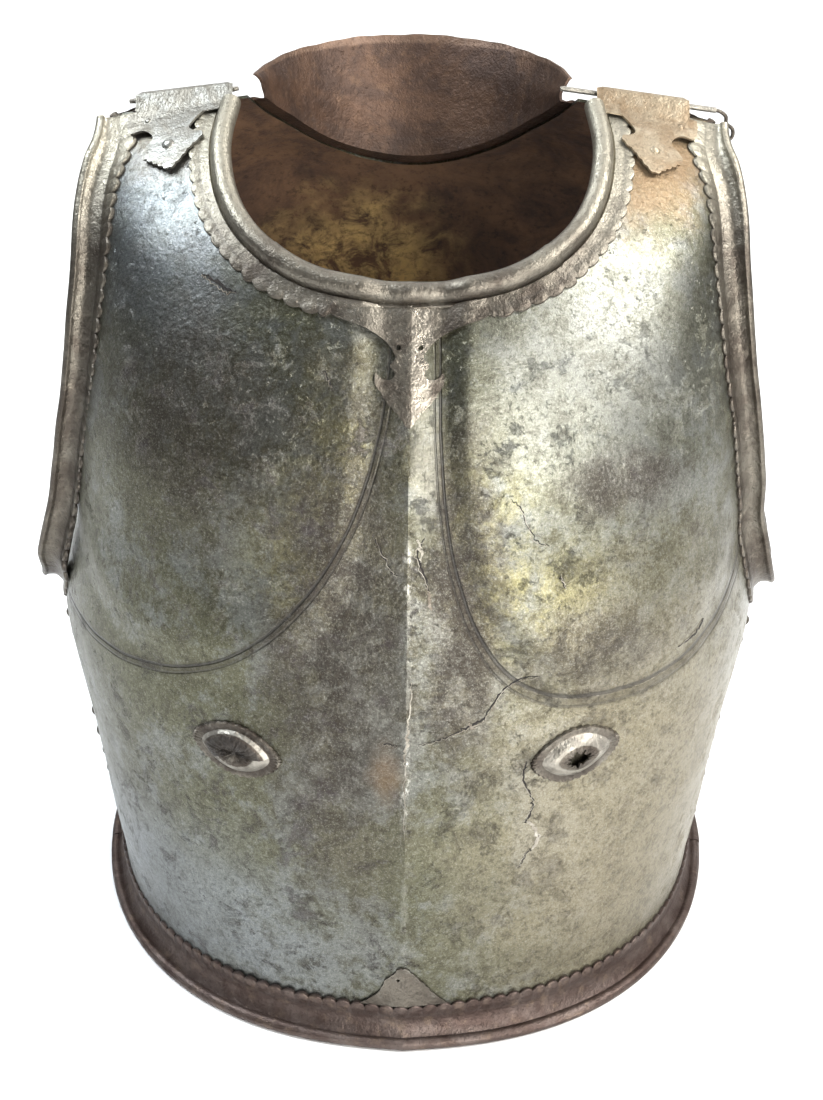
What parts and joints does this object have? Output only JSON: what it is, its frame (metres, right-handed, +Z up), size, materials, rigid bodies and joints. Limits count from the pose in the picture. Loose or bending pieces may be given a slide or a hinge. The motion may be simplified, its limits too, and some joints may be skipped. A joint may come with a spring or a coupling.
{
  "type": "cuirass",
  "caption": "Ridged iron cuirass: breastplate and backplate with rolled scalloped borders, hinged shoulder straps, a draw-out shoulder pin and a standing neck guard.",
  "frame": {"origin": "middle of the object's bounding box on the ground plane that the hem stands on", "axes": "+Z up through the neck, -Y out of the breastplate, +X towards the shoulder with the draw-out pin"},
  "size_m": [0.4, 0.299, 0.452],
  "materials": {
    "iron_plate": "hammered iron plate with a worn, mottled grey-green and purple-brown patina",
    "dark_iron": "dark, dull iron with brown corrosion",
    "rusted_iron": "iron with a matt brown rust coat and rubbed edges",
    "worn_iron": "rubbed iron, paler than the plates, pitted"
  },
  "bodies": {
    "cuirass": {"breastplate": "iron_plate", "backplate": "dark_iron", "front_neck_border": "iron_plate", "front_bottom_border": "rusted_iron", "back_bottom_border": "rusted_iron", "front_arm_border_right": "iron_plate", "back_arm_border_right": "dark_iron", "side_strip_right": "dark_iron", "shoulder_strap_front_right": "rusted_iron", "shoulder_strap_back_right": "rusted_iron", "boss_right": "worn_iron", "front_arm_border_left": "iron_plate", "back_arm_border_left": "dark_iron", "side_strip_left": "dark_iron", "shoulder_strap_front_left": "rusted_iron", "shoulder_strap_back_left": "rusted_iron", "boss_left": "worn_iron", "shoulder_pin_left": "worn_iron", "neck_guard": "rusted_iron", "ridge_patch": "worn_iron"},
    "shoulder_pin": {"shoulder_pin_right": "worn_iron"}
  },
  "joints": [
    {"name": "draw_shoulder_pin", "type": "slide", "parent": "cuirass", "child": "shoulder_pin", "axis": [0.9917, 0, -0.1289], "range_m": [0, 0.068]}
  ]
}
